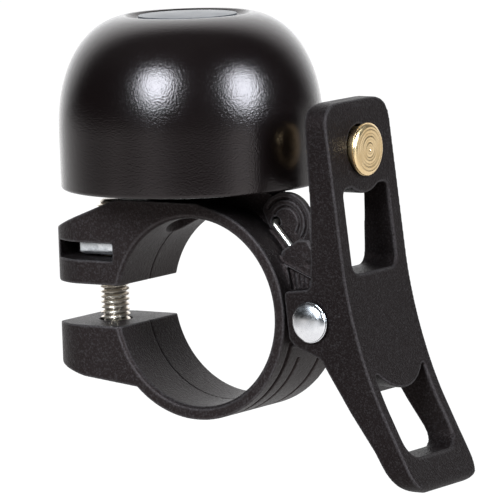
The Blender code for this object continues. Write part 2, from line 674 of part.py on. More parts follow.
def build():
    clear_scene()
    nylon = material("black_nylon", (0.022, 0.021, 0.020), 0.5)
    paint = material("black_paint", (0.006, 0.006, 0.006), 0.16)
    brass = material("brass", (0.80, 0.56, 0.22), 0.25, 1.0)
    chrome = material("chrome", (0.80, 0.80, 0.82), 0.08, 1.0)
    nickel = material("nickel_steel", (0.62, 0.58, 0.53), 0.3, 1.0)
    zinc = material("zinc_steel", (0.70, 0.73, 0.76), 0.35, 1.0)
    aluminium = material("aluminium", (0.75, 0.75, 0.76), 0.35, 1.0)
    rubber = material("black_rubber", (0.02, 0.02, 0.02), 0.8)
    white_nylon = material("white_nylon", (0.7, 0.69, 0.66), 0.45)
    cap = material("cap_paint", (0.05, 0.05, 0.052), 0.3)
    clamp_body(nylon)
    clamp_fasteners(nickel, zinc)
    bell_dome(paint)
    dome_stack(zinc, aluminium, rubber, white_nylon, cap)
    lever_arm(nylon)
    striker(brass)
    pivot(chrome, zinc)
    lever_spring(zinc)


build()
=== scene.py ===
"""Looks of the bicycle bell: a glossy black dome on a moulded nylon handlebar clamp, with a sprung
thumb lever and a brass striker. Lengths in the shape code are in millimetres, in the frame's axes.
"""

import math

import bmesh
import bpy
import numpy as np
from mathutils import Matrix, Vector


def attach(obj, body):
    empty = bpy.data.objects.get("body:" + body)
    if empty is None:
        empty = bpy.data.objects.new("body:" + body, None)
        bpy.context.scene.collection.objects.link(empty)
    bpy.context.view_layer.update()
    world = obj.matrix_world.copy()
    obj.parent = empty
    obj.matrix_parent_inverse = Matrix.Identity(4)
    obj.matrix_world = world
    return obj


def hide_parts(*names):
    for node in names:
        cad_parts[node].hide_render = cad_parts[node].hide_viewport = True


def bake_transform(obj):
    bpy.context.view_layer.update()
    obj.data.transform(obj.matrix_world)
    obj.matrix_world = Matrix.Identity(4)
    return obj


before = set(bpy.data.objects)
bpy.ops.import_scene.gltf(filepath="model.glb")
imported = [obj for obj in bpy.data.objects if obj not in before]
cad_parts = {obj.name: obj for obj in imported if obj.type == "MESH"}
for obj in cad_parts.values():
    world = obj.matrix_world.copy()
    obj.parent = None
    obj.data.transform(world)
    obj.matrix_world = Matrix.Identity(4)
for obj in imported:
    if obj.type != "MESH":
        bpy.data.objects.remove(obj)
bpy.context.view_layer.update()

MM = 0.001
AXES = {"X": Vector((1, 0, 0)), "Y": Vector((0, 1, 0)), "Z": Vector((0, 0, 1))}

MOULDED_TRIANGLES = 190000

# Clamp
BORE_R = 12.7
RING_R = 14.5
CLAMP_HALF = 7.1
PLATFORM_Z = 14.8
SLIT_Z = (-2.6, 3.0)
EAR_END_X = -18.5
EAR_TIP_X = EAR_END_X - CLAMP_HALF
LOWER_EAR_ROOT = (-10.2, -11.0)
SCREW_X = -18.05
SCREW_R = 2.0
SCREW_PITCH = 0.7
SCREW_HEAD_R = 3.5
SCREW_TAPER = 0.6
SCREW_TIP_Z = 13.9
SOCKET_FLATS = 2.5
NUT_HALF = 3.5
NUT_SLOT_X = (-23.2, -13.2)
NUT_SLOT_Z = (6.3, 8.68)
STOP_CENTRE = (12.1, 12.2)
STOP_R = 4.0
STOP_Y = (-2.4, -1.4)
BUTTRESS_Y = (-1.5, 2.2)
BUTTRESS = ((13.6, 6.0), (12.9, 9.8), (11.4, 13.3), (10.1, 15.1), (8.9, 15.9), (3.6, 15.9), (0.5, 14.5))
SHIELD = ((12.0, 7.0), (14.0, 3.0), (18.2, 3.0), (18.4, 7.2), (16.6, 10.2), (15.2, 10.22), (12.5, 8.61))
RIBS = (  # top and foot of each small rib under the spring's cheek
    ((14.5, 6.3), (14.95, 3.3)),
    ((15.25, 6.0), (15.6, 3.3)),
    ((16.05, 5.7), (16.2, 3.3)),
    ((16.9, 5.4), (16.75, 3.3)),
)
LUG_HALF = 4.6

# Dome
DOME_X = -4.36
DOME_R = 17.83
DOME_WALL = 1.3
RIM_Z = 16.5
SHOULDER_Z = 24.3
DOME_TOP_Z = 39.6
DOME_FLAT_R = 7.2
SHOULDER_POWER = 2.155
RECESS_R = 7.0
RECESS_Z = 38.3
CAP_R = 6.64
CAP_EDGE_Z = 39.3
BOLT_TIP_Z = 35.2

# Lever
PIVOT = (19.3, -0.1)
LEVER_HALF = 7.75
LEVER_Z = (-22.3, 28.6)
FORK_HALF = 5.0
PIN_R = 1.0
PIN_END_Y = 9.35
COIL_R = 1.55
COIL_Y = (-3.0, 1.4)
COIL_TURNS = 5
WIRE_R = 0.4
WIRE_SIDES = 20
BEND_R = 0.6
LEG_ANGLE = 131.4
LEG_LENGTH = 15.0
FREE_LEG_ANGLE = -58.0
STRIKER_TIP_X = 15.5
STRIKER_Z = 22.1
UPPER_WINDOW = (5.3, 6.1, 17.3)
LOWER_WINDOW = (5.9, -17.8, -6.9)
LOWER_CORNER = 2.6
ROLL = ((0.1, 0.26), (0.28, 0.08))  # steps that round a window's edge: outward, deep


# ---------------------------------------------------------------- mesh helpers


def new_piece(name, shape, smooth_angle=35.0):
    """Turns a bmesh in millimetres into an object in metres, at the frame's origin."""
    bmesh.ops.remove_doubles(shape, verts=shape.verts, dist=1e-5)
    bmesh.ops.recalc_face_normals(shape, faces=shape.faces)
    bmesh.ops.scale(shape, vec=(MM, MM, MM), verts=shape.verts)
    mesh = bpy.data.meshes.new(name)
    shape.to_mesh(mesh)
    shape.free()
    mesh.shade_smooth()
    mesh.set_sharp_from_angle(angle=math.radians(smooth_angle))
    piece = bpy.data.objects.new(name, mesh)
    bpy.context.scene.collection.objects.link(piece)
    return piece


def arc(centre, radius, start, end, steps):
    turns = (math.radians(start + (end - start) * i / steps) for i in range(steps + 1))
    return [(centre[0] + radius * math.cos(t), centre[1] + radius * math.sin(t)) for t in turns]


def bezier(corners, steps):
    points = []
    for i in range(steps + 1):
        t = i / steps
        s = 1 - t
        weights = (s**3, 3 * s * s * t, 3 * s * t * t, t**3)
        points.append(tuple(sum(w * c[k] for w, c in zip(weights, corners)) for k in (0, 1)))
    return points


def fillet(points, radius, steps=6, closed=True):
    """Rounds the corners of an outline. radius is one number, or one for each corner."""
    radii = radius if isinstance(radius, (list, tuple)) else [radius] * len(points)
    rounded = []
    for i, corner in enumerate(points):
        at = Vector(corner)
        if radii[i] <= 0 or (not closed and i in (0, len(points) - 1)):
            rounded.append(tuple(at))
            continue
        back = Vector(points[i - 1]) - at
        ahead = Vector(points[(i + 1) % len(points)]) - at
        half = back.angle(ahead) / 2
        if half > math.radians(87):
            rounded.append(tuple(at))
            continue
        reach = min(radii[i] / math.tan(half), 0.49 * back.length, 0.49 * ahead.length)
        first, last = at + back.normalized() * reach, at + ahead.normalized() * reach
        for k in range(steps + 1):
            t = k / steps
            rounded.append(tuple((1 - t) ** 2 * first + 2 * t * (1 - t) * at + t * t * last))
    return rounded


def rounded_box(low, high, radius, steps=8):
    return fillet([low, (high[0], low[1]), high, (low[0], high[1])], radius, steps)


def place(axis, flat, depth):
    if axis == "Y":
        return Vector((flat[0], depth, flat[1]))
    if axis == "X":
        return Vector((depth, flat[0], flat[1]))
    return Vector((flat[0], flat[1], depth))


def prism(outline, axis, low, high, name="helper"):
    shape = bmesh.new()
    face = shape.faces.new([shape.verts.new(place(axis, point, low)) for point in outline])
    grown = bmesh.ops.extrude_face_region(shape, geom=[face])
    tops = [part for part in grown["geom"] if isinstance(part, bmesh.types.BMVert)]
    bmesh.ops.translate(shape, verts=tops, vec=place(axis, (0, 0), high - low))
    return new_piece(name, shape)


def turned(profile, axis, centre=(0, 0, 0), columns=96, name="helper", swell=None, angle=35.0):
    """Turns (radius, height) points about an axis. swell(turn, height, radius) changes a radius."""
    along = AXES[axis]
    out = AXES["Z"] if axis == "X" else AXES["X"]
    side = along.cross(out)
    on_axis = profile[0][0] < 1e-6 and profile[-1][0] < 1e-6
    shape = bmesh.new()
    rows = []
    for radius, height in profile:
        row = []
        for i in range(1 if radius < 1e-6 else columns):
            turn = math.tau * i / columns
            reach = swell(turn, height, radius) if swell else radius
            spoke = (out * math.cos(turn) + side * math.sin(turn)) * reach
            row.append(shape.verts.new(Vector(centre) + along * height + spoke))
        rows.append(row)
    pairs = list(zip(rows, rows[1:])) + ([] if on_axis else [(rows[-1], rows[0])])
    for low, high in pairs:
        for i in range(columns):
            j = (i + 1) % columns
            ring = [low[i % len(low)], low[j % len(low)], high[j % len(high)], high[i % len(high)]]
            corners = list(dict.fromkeys(ring))
            if len(corners) > 2:
                shape.faces.new(corners)
    return new_piece(name, shape, angle)


def rod(radius, axis, low, high, centre, columns=96):
    return turned([(0, low), (radius, low), (radius, high), (0, high)], axis, centre, columns)


def boolean(target, tool, operation):
    tool.hide_render = True
    change = target.modifiers.new(operation.lower(), "BOOLEAN")
    change.operation = operation
    change.object = tool
    change.solver = "EXACT"


def cut(target, *tools):
    for tool in tools:
        boolean(target, tool, "DIFFERENCE")


def join(target, *tools):
    for tool in tools:
        boolean(target, tool, "UNION")


def settle(piece):
    """Applies a piece's modifiers and removes the helpers they used."""
    tools = [change.object for change in piece.modifiers if change.type == "BOOLEAN"]
    graph = bpy.context.evaluated_depsgraph_get()
    mesh = bpy.data.meshes.new_from_object(piece.evaluated_get(graph))
    piece.modifiers.clear()
    old, piece.data = piece.data, mesh
    bpy.data.meshes.remove(old)
    for tool in tools:
        if tool.modifiers:
            settle(tool)
        bpy.data.objects.remove(tool)


def coat(piece, surface):
    """Gives a whole piece one material."""
    piece.data.materials.clear()
    piece.data.materials.append(surface)


def mark_bends(mesh):
    """Stores how sharply the surface turns at each point, in 1/mm: more than 0 on outward edges."""
    count = len(mesh.vertices)
    points = np.empty(count * 3, np.float32)
    mesh.vertices.foreach_get("co", points)
    points = points.reshape(-1, 3) / MM
    normals = np.empty(count * 3, np.float32)
    mesh.vertex_normals.foreach_get("vector", normals)
    normals = normals.reshape(-1, 3)
    ends = np.empty(len(mesh.edges) * 2, np.int32)
    mesh.edges.foreach_get("vertices", ends)
    first, last = ends.reshape(-1, 2).T
    step = points[last] - points[first]
    span = np.maximum((step**2).sum(1), 1e-9)
    bend = np.bincount(last, 2 * (normals[last] * step).sum(1) / span, count)
    bend -= np.bincount(first, 2 * (normals[first] * step).sum(1) / span, count)
    links = np.maximum(np.bincount(ends, minlength=count), 1)
    bend /= links
    for _ in range(4):
        near = np.bincount(first, bend[last], count) + np.bincount(last, bend[first], count)
        bend = (bend + near / links) / 2
    mesh.attributes.new("bend", "FLOAT", "POINT").data.foreach_set("value", bend.astype(np.float32))


def mould(piece, voxel, passes):
    """Gives a piece the soft edges of a moulding: a fine even mesh, smoothed, then thinned out."""
    settle(piece)
    grid = piece.modifiers.new("grid", "REMESH")
    grid.mode = "VOXEL"
    grid.voxel_size = voxel * MM
    grid.use_smooth_shade = True
    soft = piece.modifiers.new("soft", "SMOOTH")
    soft.factor = 0.5
    soft.iterations = passes
    settle(piece)
    mark_bends(piece.data)
    triangles = 2 * len(piece.data.polygons)
    thin = piece.modifiers.new("thin", "DECIMATE")
    thin.ratio = min(1.0, MOULDED_TRIANGLES / triangles)
    settle(piece)
    piece.data.shade_smooth()


# ---------------------------------------------------------------- materials


class Surface:
    """Builds one Principled material out of noise layers in object space."""

    def __init__(self, name, colour, roughness, metallic=0.0):
        self.material = bpy.data.materials.new(name)
        self.material.use_nodes = True
        self.tree = self.material.node_tree
        self.shader = self.tree.nodes["Principled BSDF"]
        self.shader.inputs["Base Color"].default_value = (*colour, 1)
        self.shader.inputs["Roughness"].default_value = roughness
        self.shader.inputs["Metallic"].default_value = metallic
        self.colour = colour
        self.place = self.tree.nodes.new("ShaderNodeTexCoord").outputs["Object"]
        self.bumped = None

    def node(self, kind, **settings):
        made = self.tree.nodes.new(kind)
        for name, value in settings.items():
            setattr(made, name, value)
        return made

    def link(self, source, target):
        self.tree.links.new(source, target)

    def stretched(self, scale):
        mapping = self.node("ShaderNodeMapping")
        mapping.inputs["Scale"].default_value = scale
        self.link(self.place, mapping.inputs["Vector"])
        return mapping.outputs["Vector"]

    def noise(self, size, detail=3.0, rough=0.5, where=None):
        """Noise whose blobs are about size millimetres across."""
        made = self.node("ShaderNodeTexNoise")
        made.inputs["Scale"].default_value = 1 / (size * MM)
        made.inputs["Detail"].default_value = detail
        made.inputs["Roughness"].default_value = rough
        self.link(where or self.place, made.inputs["Vector"])
        return made.outputs["Fac"]

    def spread(self, source, low, high, start=0.3, end=0.7):
        made = self.node("ShaderNodeMapRange")
        for name, value in (("From Min", start), ("From Max", end), ("To Min", low), ("To Max", high)):
            made.inputs[name].default_value = value
        self.link(source, made.inputs["Value"])
        return made.outputs["Result"]

    def tint(self, amount, other):
        """Mixes the present base colour with another where amount is 1."""
        mix = self.node("ShaderNodeMix", data_type="RGBA")
        base = self.shader.inputs["Base Color"]
        if base.links:
            self.link(base.links[0].from_socket, mix.inputs["A"])
        else:
            mix.inputs["A"].default_value = (*self.colour, 1)
        mix.inputs["B"].default_value = (*other, 1)
        self.link(amount, mix.inputs["Factor"])
        self.link(mix.outputs["Result"], base)

    def vary_roughness(self, *layers):
        total = None
        for layer in layers:
            if total is None:
                total = layer
                continue
            add = self.node("ShaderNodeMath", operation="ADD")
            self.link(total, add.inputs[0])
            self.link(layer, add.inputs[1])
            total = add.outputs[0]
        self.link(total, self.shader.inputs["Roughness"])

    def bump(self, height, depth):
        """Adds a bump layer whose full height is depth millimetres."""
        made = self.node("ShaderNodeBump")
        made.inputs["Strength"].default_value = 1.0
        made.inputs["Distance"].default_value = depth * MM
        self.link(height, made.inputs["Height"])
        if self.bumped:
            self.link(self.bumped, made.inputs["Normal"])
        self.bumped = made.outputs["Normal"]
        self.link(self.bumped, self.shader.inputs["Normal"])

    def edges(self, start=0.3, end=1.3):
        """1 along outward edges, from how sharply the moulding turns there."""
        sharp = self.node("ShaderNodeAttribute", attribute_name="bend").outputs["Fac"]
        return self.spread(sharp, 0.0, 1.0, start, end)

    def times(self, first, second):
        made = self.node("ShaderNodeMath", operation="MULTIPLY")
        self.link(first, made.inputs[0])
        if isinstance(second, (int, float)):
            made.inputs[1].default_value = second
        else:
            self.link(second, made.inputs[1])
        return made.outputs[0]


def moulded_nylon(name, colour, dusty, worn_and_edge_highlight, shine):
    """Glass-filled nylon: a spark-eroded grain, faint flow marks, and paler edges that are partly rubbed
    wear and partly a painted highlight.
    """
    made = Surface(name, colour, 0.5)
    made.shader.inputs["Specular IOR Level"].default_value = shine
    made.shader.inputs["Specular Tint"].default_value = (1.0, 0.76, 0.73, 1)
    grain = made.noise(0.3, 3.0, 0.6)
    flow = made.noise(7.0, 2.0, 0.5, made.stretched((1.0, 1.0, 0.45)))
    specks = made.noise(0.24, 2.0, 0.6)
    made.tint(made.spread(flow, 0.0, 0.5, 0.35, 0.7), dusty)
    made.tint(made.spread(specks, 0.0, 0.38, 0.5, 0.68), worn_and_edge_highlight)
    # Painted highlight: edges are lightened towards the pale colour, partly as rubbed wear and partly
    # standing in for light catching the rounded edges.
    made.tint(made.times(made.edges(), made.spread(grain, 0.15, 0.9)), worn_and_edge_highlight)
    made.vary_roughness(made.spread(grain, 0.42, 0.54), made.spread(flow, -0.03, 0.04))
    made.bump(made.noise(1.6, 2.0), 0.012)
    made.bump(grain, 0.11)
    return made.material


def gloss_paint():
    """Stove enamel over brass: a faint orange peel, tiny dust nibs and polish haze."""
    made = Surface("dome_gloss_paint", (0.0038, 0.0024, 0.0023), 0.18)
    peel = made.noise(0.24, 2.0, 0.5)
    haze = made.noise(9.0, 3.0, 0.6)
    nibs = made.noise(0.28, 1.0)
    made.tint(made.spread(haze, 0.0, 0.6, 0.4, 0.75), (0.005, 0.0036, 0.0034))
    made.vary_roughness(made.spread(haze, 0.18, 0.21), made.spread(nibs, 0.0, 0.035, 0.55, 0.8))
    made.bump(made.noise(1.6, 1.0), 0.004)
    made.bump(peel, 0.031)
    made.bump(made.spread(nibs, 0.0, 1.0, 0.62, 0.8), 0.0025)
    made.shader.inputs["IOR"].default_value = 1.5
    made.shader.inputs["Specular Tint"].default_value = (1.0, 0.9, 0.89, 1)
    return made.material


def satin_paint():
    made = Surface("cap_satin_paint", (0.037, 0.04, 0.046), 0.33)
    made.shader.inputs["Specular IOR Level"].default_value = 0.2
    peel = made.noise(0.35, 3.0, 0.55)
    haze = made.noise(4.0, 3.0)
    made.tint(made.spread(haze, 0.0, 0.7), (0.057, 0.06, 0.067))
    made.vary_roughness(made.spread(haze, 0.28, 0.36), made.spread(peel, 0.0, 0.04))
    made.bump(peel, 0.006)
    return made.material


def turned_metal(name, colour, roughness, ring, depth, stain, axis="X", centre=(0, 0, 0)):
    """Metal with the fine rings a lathe leaves, faint stains and handling haze."""
    made = Surface(name, colour, roughness, 1.0)
    shift = made.node("ShaderNodeMapping")
    shift.inputs["Location"].default_value = tuple(-value * MM for value in centre)
    made.link(made.place, shift.inputs["Vector"])
    split = made.node("ShaderNodeSeparateXYZ")
    made.link(shift.outputs["Vector"], split.inputs["Vector"])
    across = made.node("ShaderNodeCombineXYZ")
    for letter, target in zip([letter for letter in "XYZ" if letter != axis], "XY"):
        made.link(split.outputs[letter], across.inputs[target])
    length = made.node("ShaderNodeVectorMath", operation="LENGTH")
    made.link(across.outputs["Vector"], length.inputs[0])
    rings = made.node("ShaderNodeTexNoise", noise_dimensions="1D")
    rings.inputs["Scale"].default_value = 1.0
    rings.inputs["Detail"].default_value = 3.0
    made.link(made.times(length.outputs["Value"], 1 / (ring * MM)), rings.inputs["W"])
    along = made.node("ShaderNodeTexNoise", noise_dimensions="1D")
    along.inputs["Scale"].default_value = 1.0
    along.inputs["Detail"].default_value = 2.0
    made.link(made.times(split.outputs[axis], 1 / (ring * MM)), along.inputs["W"])
    haze = made.noise(1.3, 4.0, 0.6)
    made.tint(made.spread(haze, 0.0, 0.75, 0.42, 0.72), stain)
    smears = made.spread(haze, roughness - 0.05, roughness + 0.12)
    made.vary_roughness(smears, made.spread(rings.outputs["Fac"], -0.03, 0.04))
    made.bump(rings.outputs["Fac"], depth)
    made.bump(along.outputs["Fac"], depth * 0.6)
    made.bump(made.noise(0.12, 2.0), depth * 0.25)
    return made.material


def plated_steel(name, colour, roughness, stain, rough_depth=0.006, thread_x=None):
    """Plated steel: cloudy plating with fine pits, and painted shade that darkens the roots of a thread.
    """
    made = Surface(name, colour, roughness, 1.0)
    cloud = made.noise(0.8, 4.0, 0.6)
    pits = made.noise(0.1, 2.0)
    made.tint(made.spread(cloud, 0.0, 0.8, 0.4, 0.72), stain)
    if thread_x is not None:
        shift = made.node("ShaderNodeMapping")
        shift.inputs["Location"].default_value = (-thread_x * MM, 0, 0)
        shift.inputs["Scale"].default_value = (1, 1, 0)
        made.link(made.place, shift.inputs["Vector"])
        length = made.node("ShaderNodeVectorMath", operation="LENGTH")
        made.link(shift.outputs["Vector"], length.inputs[0])
        # Painted shade: darkens the surface close to the screw's axis, in the thread's roots and the hex
        # socket.
        root = made.spread(length.outputs["Value"], 0.6, 0.0, 1.5 * MM, 1.75 * MM)
        made.tint(root, (0.07, 0.055, 0.045))
    made.vary_roughness(made.spread(cloud, roughness - 0.06, roughness + 0.12))
    made.bump(cloud, rough_depth)
    made.bump(pits, rough_depth * 0.4)
    return made.material


def soft_plain(name, colour, other, roughness):
    """Rubber or plain nylon: matt, slightly cloudy, with a fine grain."""
    made = Surface(name, colour, roughness)
    cloud = made.noise(1.5, 3.0)
    grain = made.noise(0.2, 3.0)
    made.tint(made.spread(cloud, 0.0, 0.8), other)
    made.vary_roughness(made.spread(grain, roughness - 0.06, roughness + 0.06))
    made.bump(grain, 0.01)
    return made.material


# ---------------------------------------------------------------- clamp


def clamp_outline():
    start = math.degrees(math.atan2(LOWER_EAR_ROOT[1], LOWER_EAR_ROOT[0]))
    ring = arc((0, 0), RING_R, start, 75, 150)
    left = EAR_TIP_X - 0.3
    top = [(0.8, PLATFORM_Z), (-12.4, PLATFORM_Z), (left, 9.6), (left, 5)]
    low = [(left, -5), (left, -7.9), (EAR_END_X, -9.7), ring[0]]
    return fillet(low, [0, 1.2, 0.6, 0], 10, False) + ring[1:] + fillet(top, [0, 2.0, 1.6, 0], 10, False)


def slit_outline():
    left = EAR_TIP_X - 1.5
    low, high = SLIT_Z
    mouth, throat, right = EAR_TIP_X - 0.2, EAR_TIP_X + 1.3, -8
    below = [(left, low - 1.6), (mouth, low - 1.6), (throat, low), (right, low)]
    above = [(right, high), (throat, high), (mouth, high + 1.6), (left, high + 1.6)]
    return fillet(below + above, [0, 0, 2.2, 0, 0, 2.2, 0, 0], 8)


def leg_line():
    """Start and end, in (X, Z), of the spring leg that runs up to the stop block."""
    turn = math.radians(LEG_ANGLE)
    along = Vector((math.cos(turn), math.sin(turn)))
    start = Vector(PIVOT) + COIL_R * Vector((along.y, -along.x))
    return start, start + along * LEG_LENGTH


def lug_outline():
    nose = arc(PIVOT, 3.8, -95, 80, 50)
    inside = arc((0, 0), BORE_R + 0.6, 33, -19, 20)
    return nose + [(17.6, 5.1), (12.7, 7.1)] + inside


def stop_outline():
    return arc(STOP_CENTRE, STOP_R, 0, 158, 40) + [(12.6, 4.6), (16.2, 4.6)]


def sector(inner, outer, start, end, centre=(0, 0), steps=40):
    return arc(centre, outer, start, end, steps) + arc(centre, inner, end, start, steps)


def clamp_piece(surface):
    wide = CLAMP_HALF + 1
    body = prism(clamp_outline(), "Y", -wide, wide, "clamp_moulding")
    end = arc((EAR_END_X, 0), CLAMP_HALF, 90, 270, 64)
    plan = end + [(16, -CLAMP_HALF), (16, CLAMP_HALF)]
    boolean(body, prism(plan, "Z", -16, 16), "INTERSECT")
    buttress = fillet(BUTTRESS, [0, 1.0, 1.0, 0.5, 0.6, 1.0, 0]) + arc((0, 0), BORE_R + 0.6, 88, 30, 20)
    pedestal = [(0, 13.9), (6.3, 13.9), (6.3, 14.8), (5.5, 15.6), (5.5, 19.0), (0, 19.0)]
    join(
        body,
        turned(pedestal, "Z", (DOME_X, 0, 0)),
        prism(lug_outline(), "Y", -LUG_HALF, LUG_HALF),
        prism(stop_outline(), "Y", *STOP_Y),
        prism(buttress, "Y", *BUTTRESS_Y),
        prism(SHIELD, "Y", -4.2, -3.2),
    )
    cut(body, *clamp_cutters())
    join(body, *clamp_ribs())
    body.data.materials.append(surface)
    mould(body, 0.125, 5)
    return body


def clamp_cutters():
    wide = CLAMP_HALF + 1
    bore = [(0, -wide), (BORE_R + 1.4, -wide), (BORE_R + 0.4, -CLAMP_HALF), (BORE_R, -CLAMP_HALF + 0.45)]
    bore += [(BORE_R, 0.05), (BORE_R + 0.26, 0.08), (BORE_R + 0.26, 0.32), (BORE_R, 0.35)]
    bore += [(BORE_R, CLAMP_HALF - 0.45), (BORE_R + 0.4, CLAMP_HALF), (BORE_R + 1.4, wide), (0, wide)]
    pocket = [(0, -16), (4.3, -16), (4.3, -6.3), (2.3, -6.3), (2.3, 16), (0, 16)]
    bolt = [(0, 8), (3.9, 8), (3.9, 16.2), (2.3, 16.2), (2.3, 20), (0, 20)]
    slot = rounded_box((NUT_SLOT_X[0], NUT_SLOT_Z[0]), (NUT_SLOT_X[1], NUT_SLOT_Z[1]), 0.15, 3)
    mouth = arc(PIVOT, 3.3, 90, 270, 30) + [(PIVOT[0], -6), (24.1, -6), (24.1, 4.6), (PIVOT[0], 4.6)]
    start, end = leg_line()
    side = Vector((end.y - start.y, start.x - end.x)).normalized() * -0.8
    near, far = start + side, end + side
    leg = [tuple(near), (24.1, near.y), (24.1, 16), (far.x, 16), tuple(far)]
    grooves = [
        prism(sector(RING_R - deep, RING_R + 1.5, first, last), "Y", low, high)
        for low, high, deep, first, last in (
            (-5.3, -4.5, 0.45, -112, -14),
            (-2.3, -1.7, 0.35, -112, -24),
            (3.1, 3.7, 0.35, -112, -24),
        )
    ]
    arcs = [
        prism(sector(inner, outer, -42, 150, STOP_CENTRE), "Y", -3.0, -2.4 + deep)
        for inner, outer, deep in ((1.95, 2.25, 0.3), (3.0, 3.35, 0.35))
    ]
    recess = prism([(13.5, 6.6), (14.2, 3.2), (17.6, 3.2), (17.3, 5.1)], "Y", -5, -3.9)
    notch = prism(rounded_box((16.2, 6.6), (17.2, 7.4), 0.3), "Y", -5, -4.0)
    return [
        turned(bore, "Y", columns=240),
        prism(slit_outline(), "Y", -wide, wide),
        turned(pocket, "Z", (SCREW_X, 0, 0)),
        turned(bolt, "Z", (DOME_X, 0, 0)),
        prism(slot, "Y", -wide, 3.6),
        rod(PIN_R + 0.3, "Y", -6, 6, (PIVOT[0], 0, PIVOT[1])),
        prism(mouth, "Y", -3.6, 2.0),
        prism(leg, "Y", -3.6, -2.38),
        rod(WIRE_R + 0.3, "Y", -3.4, 0, (end.x, 0, end.y)),
        recess,
        notch,
        *grooves,
        *arcs,
    ]


def clamp_ribs():
    """The fan of small ribs in the recess under the spring's cheek."""
    ribs = []
    for top, foot in RIBS:
        across = Vector((foot[1] - top[1], top[0] - foot[0])).normalized() * 0.16
        wider = across * 1.4
        corners = [Vector(top) + across, Vector(top) - across, Vector(foot) - wider, Vector(foot) + wider]
        ribs.append(prism(corners, "Y", -4.05, -3.7))
    return ribs


# ---------------------------------------------------------------- lever


def lever_curve():
    """Outer side of the lever in (X, Z), from the top down to the tip."""
    sweep = bezier([(24.5, 7.5), (25.26, 1.05), (27.41, -6.63), (30.4, -12.4)], 40)
    return [(22.2, 28.0)] + sweep + arc((34.0, -21.4), 0.9, 20, -80, 10)


def lever_outline():
    heel = bezier([(33.2, -22.25), (31.6, -21.9), (30.6, -20.4), (28.6, -16.9)], 20)
    inner = bezier([(24.9, -11.8), (23.2, -9.1), (21.9, -7.3), (20.6, -5.1)], 16)
    ear = arc((18.9, -0.2), 4.0, 262, 215, 14) + arc((15.7, 3.2), 0.6, 190, 95, 8)
    ear += arc((18.3, 5.1), 1.0, 270, 350, 8)
    top = LEVER_Z[1]
    return [(21.9, top)] + lever_curve() + heel + inner + ear + [(19.6, 15.0), (19.0, 27.9), (19.5, top)]


def skin_cutter(outline, depth):
    """What lies over the lever's outer face, down to depth, inside an outline seen from outside."""
    curve = [(x - depth, z) for x, z in lever_curve() if z < 28.1]
    tool = prism([(45, 32), (22.2 - depth, 32)] + curve + [(45, -26)], "Y", -9, 9)
    boolean(tool, prism(outline, "X", 10, 46), "INTERSECT")
    return tool


def upper_window(grow=0.0):
    half, low, high = UPPER_WINDOW[0] + grow, UPPER_WINDOW[1] - grow, UPPER_WINDOW[2]
    radius = 5.8 - grow
    reach = math.degrees(math.acos((STRIKER_Z - high) / radius))
    bulge = arc((0, STRIKER_Z), radius, 270 + reach, 270 - reach, 30)
    bottom = arc((-half + 1.5, low + 1.5), 1.5, 180, 270, 10)
    bottom += arc((half - 1.5, low + 1.5), 1.5, 270, 360, 10)
    right = arc((half - 1, high - 1), 1.0, 0, 90, 8)
    left = arc((-half + 1, high - 1), 1.0, 90, 180, 8)
    return bottom + right + bulge + left[:-1]


def lower_window(grow=0.0):
    half, low, high = LOWER_WINDOW[0] + grow, LOWER_WINDOW[1] - grow, LOWER_WINDOW[2]
    radius = 7.3 - grow * 0.3
    reach = math.degrees(math.acos((-2.0 - high) / radius))
    tongue = arc((0, -2.0), radius, 270 + reach, 270 - reach, 36)
    corner = LOWER_CORNER
    bottom = arc((-half + corner, low + corner), corner, 180, 270, 12)
    bottom += arc((half - corner, low + corner), corner, 270, 360, 12)
    return bottom + [(half, high)] + tongue + [(-half, high)]


def lever_piece(surface):
    wide = LEVER_HALF + 1
    lever = prism(lever_outline(), "Y", -wide, wide, "lever_moulding")
    front = rounded_box((-LEVER_HALF, LEVER_Z[0]), (LEVER_HALF, LEVER_Z[1]), 3.6, 16)
    boolean(lever, prism(front, "X", 10, 46), "INTERSECT")
    seat = (0, 0, STRIKER_Z)
    join(lever, rod(5.8, "X", 18.4, 22.3, seat))
    half, low, _ = LOWER_WINDOW
    through = arc((-half + LOWER_CORNER, low + LOWER_CORNER), LOWER_CORNER, 180, 270, 12)
    through += arc((half - LOWER_CORNER, low + LOWER_CORNER), LOWER_CORNER, 270, 360, 12)
    through += [(half, -10.3), (-half, -10.3)]
    ramp = [(26.0, -8.7), (30.0, -12.2), (23.6, -12.2), (23.6, -10.3), (24.3, -10.3)]
    cut(
        lever,
        prism(rounded_box((10, -4.6), (23.6, 4.7), 0.3), "Y", -FORK_HALF, FORK_HALF),
        prism(upper_window(), "X", 10, 46),
        prism(through, "X", 10, 46),
        prism(lower_window(), "X", 26.0, 46),
        prism(ramp, "Y", -half, half),
        *(skin_cutter(upper_window(grow), deep) for grow, deep in ROLL),
        *(skin_cutter(lower_window(grow), deep) for grow, deep in ROLL),
        rod(PIN_R + 0.3, "Y", -wide, wide, (PIVOT[0], 0, PIVOT[1])),
        rod(3.3, "X", 10, 46, seat),
    )
    lever.data.materials.append(surface)
    mould(lever, 0.13, 6)
    return lever


# ---------------------------------------------------------------- dome and its stack


def shoulder(turn, wall):
    across = math.cos(turn) ** (2 / SHOULDER_POWER)
    up = math.sin(turn) ** (2 / SHOULDER_POWER)
    reach = DOME_R - DOME_FLAT_R
    rise = DOME_TOP_Z - SHOULDER_Z
    return (DOME_FLAT_R - wall / 2 + (reach - wall / 2) * across, SHOULDER_Z + (rise - wall * 1.3) * up)


